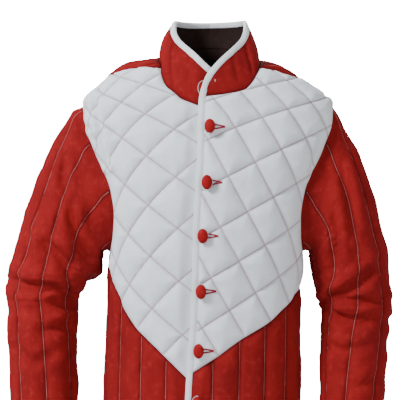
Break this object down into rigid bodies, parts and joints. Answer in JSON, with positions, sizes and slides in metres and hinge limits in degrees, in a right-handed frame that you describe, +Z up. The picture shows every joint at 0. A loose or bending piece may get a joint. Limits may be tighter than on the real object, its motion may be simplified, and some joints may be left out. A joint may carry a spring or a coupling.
{
  "type": "gambeson",
  "caption": "Padded arming jacket with a diamond-quilted pale chest, red channelled skirt, back and sleeves, a stand collar, bound front edge and cloth-covered buttons.",
  "frame": {"origin": "midpoint between the places where the two shoulders meet the neck", "axes": "+X towards the wearer's left, -Y out of the front, +Z up"},
  "size_m": [0.7081, 0.3, 0.9397],
  "materials": {
    "white_cloth": "matte woven cotton",
    "red_cloth": "matte woven wool or cotton",
    "lining_cloth": "matte dark cloth",
    "binding_cloth": "matte cotton tape",
    "button_cloth": "cloth pulled over a dome"
  },
  "bodies": {
    "root": {"chest_right": "white_cloth", "chest_left": "white_cloth", "front_right": "red_cloth", "front_left": "red_cloth", "back": "red_cloth", "sleeve_right": "red_cloth", "sleeve_left": "red_cloth", "collar": "red_cloth", "collar_lining": "lining_cloth", "binding_right": "binding_cloth", "binding_left": "binding_cloth", "button_1": "button_cloth", "button_2": "button_cloth", "button_3": "button_cloth", "button_4": "button_cloth", "button_5": "button_cloth", "button_6": "button_cloth", "button_7": "button_cloth", "button_8": "button_cloth"}
  },
  "joints": []
}
